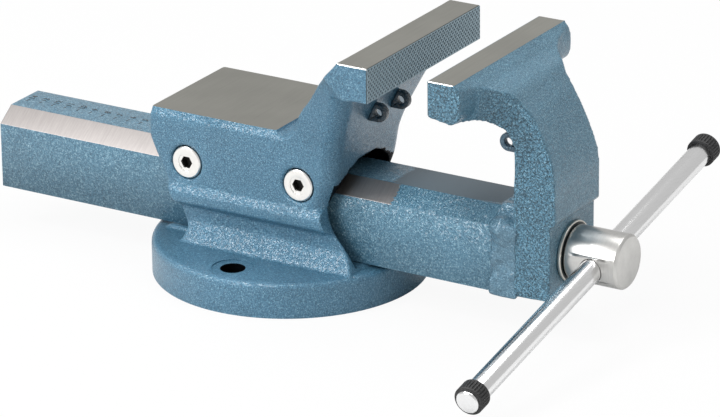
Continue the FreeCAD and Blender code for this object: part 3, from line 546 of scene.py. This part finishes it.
finish_index = ground.astype(np.int32)
finish_index[filed_edges(front_mesh)] = 2
front_mesh.materials.append(hammer_enamel("hammer_enamel_on_forging_crust", "#335c71",
                                          "#52829a", "#a6cddc", 0.00085, rough_sides=1.0))
front_mesh.materials.append(ground_top)
front_mesh.materials.append(edge_highlight_steel)
front_mesh.polygons.foreach_set("material_index", finish_index)
shade_smooth(front_mesh, 35)
new_piece("front_jaw_skin", front_mesh, "slide", "blue_enamel", "front_jaw")

# Slide ----------------------------------------------------------------------------------
# A hollow bar, open below, whose two shoulders are ground to run on the gibs. The paint
# stops where the shoulders start to run, in a ragged brushed edge just ahead of the body.


def slide_finish(name):
    """Hammer-finish enamel with bright ground shoulders and a satin, thinly painted top.
    The shoulders are the faces that look up and sideways at once (|ny| and nz over 0.35),
    and they are bare behind x = 98 mm, give or take 3 mm of brushed noise. The top turns
    grey ahead of x = 92 mm in the same way."""
    material = hammer_enamel(name, "#345d73", "#54839b", "#b4d3df", 0.001)
    tree, paint, output = shader_of(material)
    coords = node(tree, "ShaderNodeTexCoord")
    place = coords.outputs["Object"]
    facing = node(tree, "ShaderNodeSeparateXYZ", {"Vector": coords.outputs["Normal"]})
    where = node(tree, "ShaderNodeSeparateXYZ", {"Vector": place})
    side = node(tree, "ShaderNodeMath", {0: facing.outputs["Y"]}, operation="ABSOLUTE")
    slope = node(tree, "ShaderNodeMath", {0: side.outputs[0], 1: facing.outputs["Z"]},
                 operation="MULTIPLY")
    shoulder = node(tree, "ShaderNodeMath", {0: slope.outputs[0], 1: 0.36},
                    operation="GREATER_THAN")
    brush = node(tree, "ShaderNodeMapping", {"Vector": place, "Scale": (60, 420, 420)})
    ragged = node(tree, "ShaderNodeTexNoise", {"Vector": brush.outputs[0], "Scale": 1.0,
                                               "Detail": 5.0, "Roughness": 0.7})
    edge = node(tree, "ShaderNodeMath", {0: ragged.outputs["Fac"], 1: 0.012,
                                         2: where.outputs["X"]}, operation="MULTIPLY_ADD")
    behind = node(tree, "ShaderNodeMath", {0: edge.outputs[0], 1: 0.105},
                  operation="LESS_THAN")
    bare = node(tree, "ShaderNodeMath", {0: shoulder.outputs[0], 1: behind.outputs[0]},
                operation="MULTIPLY")
    ahead = node(tree, "ShaderNodeMath", {0: edge.outputs[0], 1: 0.098},
                 operation="GREATER_THAN")
    topside = node(tree, "ShaderNodeMath", {0: facing.outputs["Z"], 1: 0.97},
                   operation="GREATER_THAN")
    satin = node(tree, "ShaderNodeMath", {0: ahead.outputs[0], 1: topside.outputs[0]},
                 operation="MULTIPLY")
    scratch = node(tree, "ShaderNodeMapping", {"Vector": place, "Scale": (900, 60, 60),
                                               "Rotation": (0, 0, 0.5)})
    lines = node(tree, "ShaderNodeTexNoise", {"Vector": scratch.outputs[0], "Scale": 1.0,
                                              "Detail": 4.0, "Roughness": 0.7})
    tone = node(tree, "ShaderNodeMapRange", {"Value": lines.outputs["Fac"], "From Min": 0.3,
                                             "From Max": 0.7, "To Min": 0.9, "To Max": 1.08})
    steel_tint = node(tree, "ShaderNodeVectorMath", {0: linear("#a8a3a1")[:3],
                                                     1: tone.outputs[0]},
                      operation="MULTIPLY")
    ground_bump = node(tree, "ShaderNodeBump", {"Height": lines.outputs["Fac"],
                                                "Strength": 0.4, "Distance": 0.00004})
    steel = node(tree, "ShaderNodeBsdfPrincipled", {
        "Base Color": steel_tint.outputs[0], "Metallic": 1.0, "Roughness": 0.45,
        "Normal": ground_bump.outputs[0]})
    grey = node(tree, "ShaderNodeBsdfPrincipled", {
        "Base Color": linear("#67757e"), "Metallic": 0.4, "Roughness": 0.45})
    first = node(tree, "ShaderNodeMixShader", {0: bare.outputs[0], 1: paint.outputs[0],
                                               2: steel.outputs[0]})
    second = node(tree, "ShaderNodeMixShader", {0: satin.outputs[0], 1: first.outputs[0],
                                                2: grey.outputs[0]})
    tree.links.new(second.outputs[0], output.inputs["Surface"])
    return material


def dress(cad_node, material, edge=0.0, degrees=35):
    """A CAD node as it is shown: its finish, and edges broken by a small bevel."""
    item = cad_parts[cad_node]
    item.data.materials.clear()
    item.data.materials.append(material)
    shade_smooth(item.data, degrees)
    if edge:
        weld = item.modifiers.new("weld", "WELD")
        weld.merge_threshold = 1e-6
        bevel = item.modifiers.new("edge", "BEVEL")
        bevel.width = edge
        bevel.segments = 2
        bevel.limit_method = "ANGLE"
        bevel.angle_limit = math.radians(28)
        bevel.harden_normals = True
    return item


dress("slide_beam", slide_finish("slide_enamel_and_ground_shoulders"), 0.0005)

# Slide scale ----------------------------------------------------------------------------
# A scale stamped along the middle of the slide's top behind the body: ten short lines
# across, 10.6 mm apart, and a number beside each for how far the jaws have opened.
stamp = hammer_enamel("stamped_scale_enamel", "#14212a", "#1c2d38", "#35505e", 0.0008)
scale_z = 0.0845
scale_start = -0.1202
scale_pitch = 0.0106
for step in range(10):
    at = scale_start - scale_pitch * step
    line = bpy.data.objects.new(f"scale_line_{step}", box_mesh(
        (at - 0.0004, -0.0055, scale_z - 0.0002), (at + 0.0004, -0.0012, scale_z + 0.00005)))
    line.data.materials.append(stamp)
    scene.collection.objects.link(line)
    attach(line, "slide")
    curve = bpy.data.curves.new(f"scale_number_{step}", "FONT")
    curve.body = str(step + 5)
    curve.size = 0.0066
    curve.offset = 0.0001
    curve.extrude = 0.00012
    curve.align_x = "CENTER"
    text = bpy.data.objects.new(f"scale_number_{step}_curve", curve)
    scene.collection.objects.link(text)
    digits = evaluated(text)
    bpy.data.objects.remove(text)
    turn = Matrix.Translation((at + 0.0023, 0.0028, scale_z)) @ Matrix.Rotation(
        math.radians(90), 4, "Z")
    digits.transform(turn)
    digits.materials.clear()
    digits.materials.append(stamp)
    number = bpy.data.objects.new(f"scale_number_{step}", digits)
    scene.collection.objects.link(number)
    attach(number, "slide")

# Weld collar ----------------------------------------------------------------------------
# The bead that joins slide and front jaw, laid by hand and painted over: broad soft lumps
# a few millimetres across, with a swollen knuckle at each shoulder.
collar_mesh = forged("beam_weld_collar_skin", "beam_weld_collar", 0.001, 3, [], [], 1.0)
points = np.empty(len(collar_mesh.vertices) * 3)
collar_mesh.vertices.foreach_get("co", points)
points = points.reshape(-1, 3)
normals = np.empty(len(collar_mesh.vertices) * 3)
collar_mesh.vertices.foreach_get("normal", normals)
normals = normals.reshape(-1, 3)


def lumps(place, seed, wave):
    """A smooth field from -1 to 1: the mean of 12 sines, sin(2 pi d.p / wave + f), whose
    directions d and phases f come from the seed."""
    source = np.random.default_rng(seed)
    ways = source.normal(size=(12, 3))
    ways /= np.linalg.norm(ways, axis=1)[:, None]
    phases = source.uniform(0, 2 * np.pi, 12)
    return np.sin(2 * np.pi * place @ ways.T / wave + phases).mean(axis=1) * 1.8


outside = np.clip((np.abs(points[:, 1]) - 0.0295) / 0.0012, 0, 1)
outside = np.maximum(outside, np.clip((points[:, 2] - 0.075) / 0.003, 0, 1))
swell = 0.0016 * lumps(points, 5, 0.014) + 0.0007 * lumps(points, 9, 0.006)
shoulder = np.hypot(np.abs(points[:, 1]) - 0.0305, points[:, 2] - 0.0755)
middle = np.exp(-((points[:, 0] - 0.1865) / 0.006) ** 2)
swell += 0.0055 * np.exp(-(shoulder / 0.007) ** 2) * middle
points += normals * (swell * outside)[:, None]
points[:, 0] += 0.002 * np.clip((points[:, 0] - 0.187) / 0.006, 0, 1)
collar_mesh.vertices.foreach_set("co", points.ravel())
collar_mesh.update()
collar_mesh.materials.append(hammer_enamel("thick_enamel_on_weld", "#416478", "#5a8399",
                                           "#a4c3d1", 0.001, gloss=0.16))
shade_smooth(collar_mesh, 60)
new_piece("beam_weld_collar_skin", collar_mesh, "slide", "blue_enamel", "beam_weld_collar")

# Pipe-jaw lugs --------------------------------------------------------------------------
# Small eyes cut from plate, welded under both jaws and dipped in the same enamel. Their
# enamel colours are darkened, nearly black on the fixed jaw's lugs, as painted shade.
lug_painted_shade_enamel = hammer_enamel("enamel_with_painted_shade_fixed_lugs", "#16242e", "#203440", "#3c5563", 0.0012,
                           gloss=0.2)
dress("fixed_jaw_lugs", lug_painted_shade_enamel, 0.0006)
dress("front_jaw_lugs", hammer_enamel("enamel_with_painted_shade_front_lugs", "#30495a", "#3f6074", "#6f8f9e",
                                      0.0012), 0.0006)

# Gibs, nut and screws -------------------------------------------------------------------
# The gibs and the nut are plain machined steel and iron. The adjusting screws are bright
# zinc, with painted shade inside the socket for the key.


def bright_metal(name, colour, roughness, stretch, strength, grain=0.05):
    """Bare or plated metal with fine tool marks: a noise stretched by three scales gives the
    marks, which shift the tone by the share grain and dent the surface by microns."""
    material, tree, output = new_material(name)
    place = node(tree, "ShaderNodeTexCoord").outputs["Object"]
    drawn = node(tree, "ShaderNodeMapping", {"Vector": place, "Scale": stretch})
    marks = node(tree, "ShaderNodeTexNoise", {"Vector": drawn.outputs[0], "Scale": 1.0,
                                              "Detail": 4.0, "Roughness": 0.65})
    tone = node(tree, "ShaderNodeMapRange", {"Value": marks.outputs["Fac"], "From Min": 0.3,
                                             "From Max": 0.7, "To Min": 1 - grain,
                                             "To Max": 1 + grain})
    tint = node(tree, "ShaderNodeVectorMath", {0: linear(colour)[:3], 1: tone.outputs[0]},
                operation="MULTIPLY")
    bump = node(tree, "ShaderNodeBump", {"Height": marks.outputs["Fac"], "Strength": strength,
                                         "Distance": 0.00005})
    metal = node(tree, "ShaderNodeBsdfPrincipled", {
        "Base Color": tint.outputs[0], "Metallic": 1.0, "Roughness": roughness,
        "Normal": bump.outputs[0]})
    tree.links.new(metal.outputs[0], output.inputs["Surface"])
    return material


def screw_finish(name, x, side):
    """Zinc plate, with painted shade inside the key socket: below 1 mm from the face,
    within 5 mm of the screw's axis at (x, z = 82 mm)."""
    material = bright_metal(name, "#f4f2ee", 0.3, (300, 300, 300), 0.2, 0.03)
    tree, metal, output = shader_of(material)
    place = node(tree, "ShaderNodeTexCoord").outputs["Object"]
    parts = node(tree, "ShaderNodeSeparateXYZ", {"Vector": place})
    flat = node(tree, "ShaderNodeCombineXYZ", {"X": parts.outputs["X"], "Z": parts.outputs["Z"]})
    radius = node(tree, "ShaderNodeVectorMath", {0: flat.outputs[0], 1: (x, 0, 0.082)},
                  operation="DISTANCE")
    near = node(tree, "ShaderNodeMath", {0: radius.outputs["Value"], 1: 0.005},
                operation="LESS_THAN")
    depth = node(tree, "ShaderNodeMath", {0: parts.outputs["Y"], 1: side}, operation="MULTIPLY")
    inside = node(tree, "ShaderNodeMapRange", {"Value": depth.outputs[0], "From Min": 0.0455,
                                               "From Max": 0.0468, "To Min": 1.0,
                                               "To Max": 0.0})
    share = node(tree, "ShaderNodeMath", {0: near.outputs[0], 1: inside.outputs[0]},
                 operation="MULTIPLY")
    # near-black painted shade, used inside the sockets and on the front washer
    painted_shade_shader = node(tree, "ShaderNodeBsdfPrincipled", {"Base Color": linear("#15130f"),
                                                     "Roughness": 0.5})
    both = node(tree, "ShaderNodeMixShader", {0: share.outputs[0], 1: metal.outputs[0],
                                              2: painted_shade_shader.outputs[0]})
    tree.links.new(both.outputs[0], output.inputs["Surface"])
    return material


for x, side in screw_spots:
    label = ("near_" if side < 0 else "far_") + ("rear" if x < 0 else "front")
    dress("gib_screw_" + label, screw_finish("zinc_plate_" + label, x, side), 0.0004)
gib_steel = bright_metal("ground_gib_steel", "#9a9892", 0.4, (60, 2200, 2200), 0.3)
dress("gib_near", gib_steel)
dress("gib_far", gib_steel)
iron = bright_metal("machined_cast_iron", "#5d5b58", 0.5, (700, 700, 700), 0.4)
dress("spindle_nut", iron)
dress("spindle_bush", iron)
zinc = bright_metal("bright_zinc", "#e3e1dc", 0.3, (500, 500, 500), 0.2, 0.03)
for label in ("nut_screws", "thrust_washer_rear"):
    dress(label, zinc, 0.0002)
# the front washer has painted shade up to 20.2 mm from the axis, and is bright zinc at its rim
washer = bright_metal("zinc_washer_with_painted_shade", "#dad7cf", 0.3, (500, 500, 500), 0.2, 0.03)
tree, metal, output = shader_of(washer)
parts = node(tree, "ShaderNodeSeparateXYZ",
             {"Vector": node(tree, "ShaderNodeTexCoord").outputs["Object"]})
flat = node(tree, "ShaderNodeCombineXYZ", {"Y": parts.outputs["Y"], "Z": parts.outputs["Z"]})
radius = node(tree, "ShaderNodeVectorMath", {0: flat.outputs[0], 1: (0, 0, 0.0547)},
              operation="DISTANCE")
shaded_annulus = node(tree, "ShaderNodeMath", {0: radius.outputs["Value"], 1: 0.0202},
              operation="LESS_THAN")
painted_shade_shader = node(tree, "ShaderNodeBsdfPrincipled", {"Base Color": linear("#1c2225"),
                                                 "Roughness": 0.4})
both = node(tree, "ShaderNodeMixShader", {0: shaded_annulus.outputs[0], 1: metal.outputs[0],
                                          2: painted_shade_shader.outputs[0]})
tree.links.new(both.outputs[0], output.inputs["Surface"])
dress("thrust_washer_front", washer, 0.0003)

# Spindle --------------------------------------------------------------------------------
# Turned bright steel. The head shows fine rings from the lathe, and its end face is flat
# and finely scratched. The thread behind runs in the nut.
turned = bright_metal("turned_steel", "#d2d1ce", 0.31, (1800, 120, 120), 0.35, 0.07)
dress("spindle", turned, 0.0003)
dress("retaining_collar", turned, 0.0004)
dress("collar_pin", turned)

# Handle ---------------------------------------------------------------------------------
# A polished bar, loose in the head, with a ribbed black rubber ring pushed on each end.
tilt = math.radians(11.1)
bar_way = np.array([0, math.cos(tilt), math.sin(tilt)])
bar_root = np.array([0.2445, 0, 0.0547])
dress("handle_bar", bright_metal("polished_bar", "#f3f3f3", 0.18, (900, 25, 900), 0.12, 0.03),
      0.0003)

rubber, tree, output = new_material("moulded_black_rubber")
# matt rubber with a fine bloom, paler where the dust lies
place = node(tree, "ShaderNodeTexCoord").outputs["Object"]
bloom = node(tree, "ShaderNodeTexNoise", {"Vector": place, "Scale": 700.0, "Detail": 4.0})
ramp = node(tree, "ShaderNodeValToRGB", {"Fac": bloom.outputs["Fac"]})
ramp.color_ramp.elements[0].position = 0.35
ramp.color_ramp.elements[0].color = linear("#1b1b1c")
ramp.color_ramp.elements[1].position = 0.75
ramp.color_ramp.elements[1].color = linear("#3a3a3b")
skin = node(tree, "ShaderNodeBsdfPrincipled", {"Base Color": ramp.outputs["Color"],
                                               "Roughness": 0.55})
tree.links.new(skin.outputs[0], output.inputs["Surface"])


def ribbed_ring(name, start, length, outer, inner):
    """A ring round the handle with 30 ribs along it. At the angle a and the share u of the
    ring's length, the outside is at r = outer - 0.75 mm g(a) w(u), where the groove
    g = max(0, cos(30 a)) ** 0.7 and w = 1 in the middle. From 1.8 mm to 1 mm before each end
    w falls to 0, so a plain lip is left. The lip's edge is rounded by 0.9 mm."""
    turns = np.linspace(0, 2 * np.pi, 360, endpoint=False)
    groove = np.maximum(0, np.cos(30 * turns)) ** 0.7
    rounding = 0.0009
    corner = np.linspace(0, np.pi / 2, 5)
    along = np.concatenate([rounding * (1 - np.cos(corner)), np.linspace(0.0016, length - 0.0016, 9),
                            length - rounding * (1 - np.cos(corner[::-1]))])
    drop = np.concatenate([rounding * (1 - np.sin(corner)), np.zeros(9),
                           rounding * (1 - np.sin(corner[::-1]))])
    share = np.clip(np.minimum(along - 0.0010, length - 0.0010 - along) / 0.0008, 0, 1)
    radius = (outer - drop)[:, None] - 0.00075 * share[:, None] * groove[None, :]
    along = np.concatenate([[0.0], along, [length]])
    radius = np.concatenate([np.full((1, 360), inner), radius, np.full((1, 360), inner)])
    side = np.array([1.0, 0, 0])
    up = np.cross(bar_way, side)
    spot = bar_root + bar_way * start
    points = (spot + along[:, None, None] * bar_way
              + radius[:, :, None] * (np.cos(turns)[:, None] * side + np.sin(turns)[:, None] * up))
    rows = len(along)
    index = np.arange(rows * 360).reshape(rows, 360)
    ahead = np.roll(index, -1, axis=1)
    low = np.arange(rows)
    high = np.roll(low, -1)
    faces = np.stack([index[low], ahead[low], ahead[high], index[high]], axis=-1).reshape(-1, 4)
    mesh = bpy.data.meshes.new(name)
    mesh.from_pydata(points.reshape(-1, 3).tolist(), [], faces.tolist())
    mesh.materials.append(rubber)
    shade_smooth(mesh, 50)
    return mesh


for name, start in (("handle_ring_near", -0.184), ("handle_ring_far", 0.142)):
    ring = ribbed_ring(name + "_ribbed", start, 0.011, 0.0103, 0.00805)
    new_piece(name + "_ribbed", ring, "handle", "black_rubber", name)
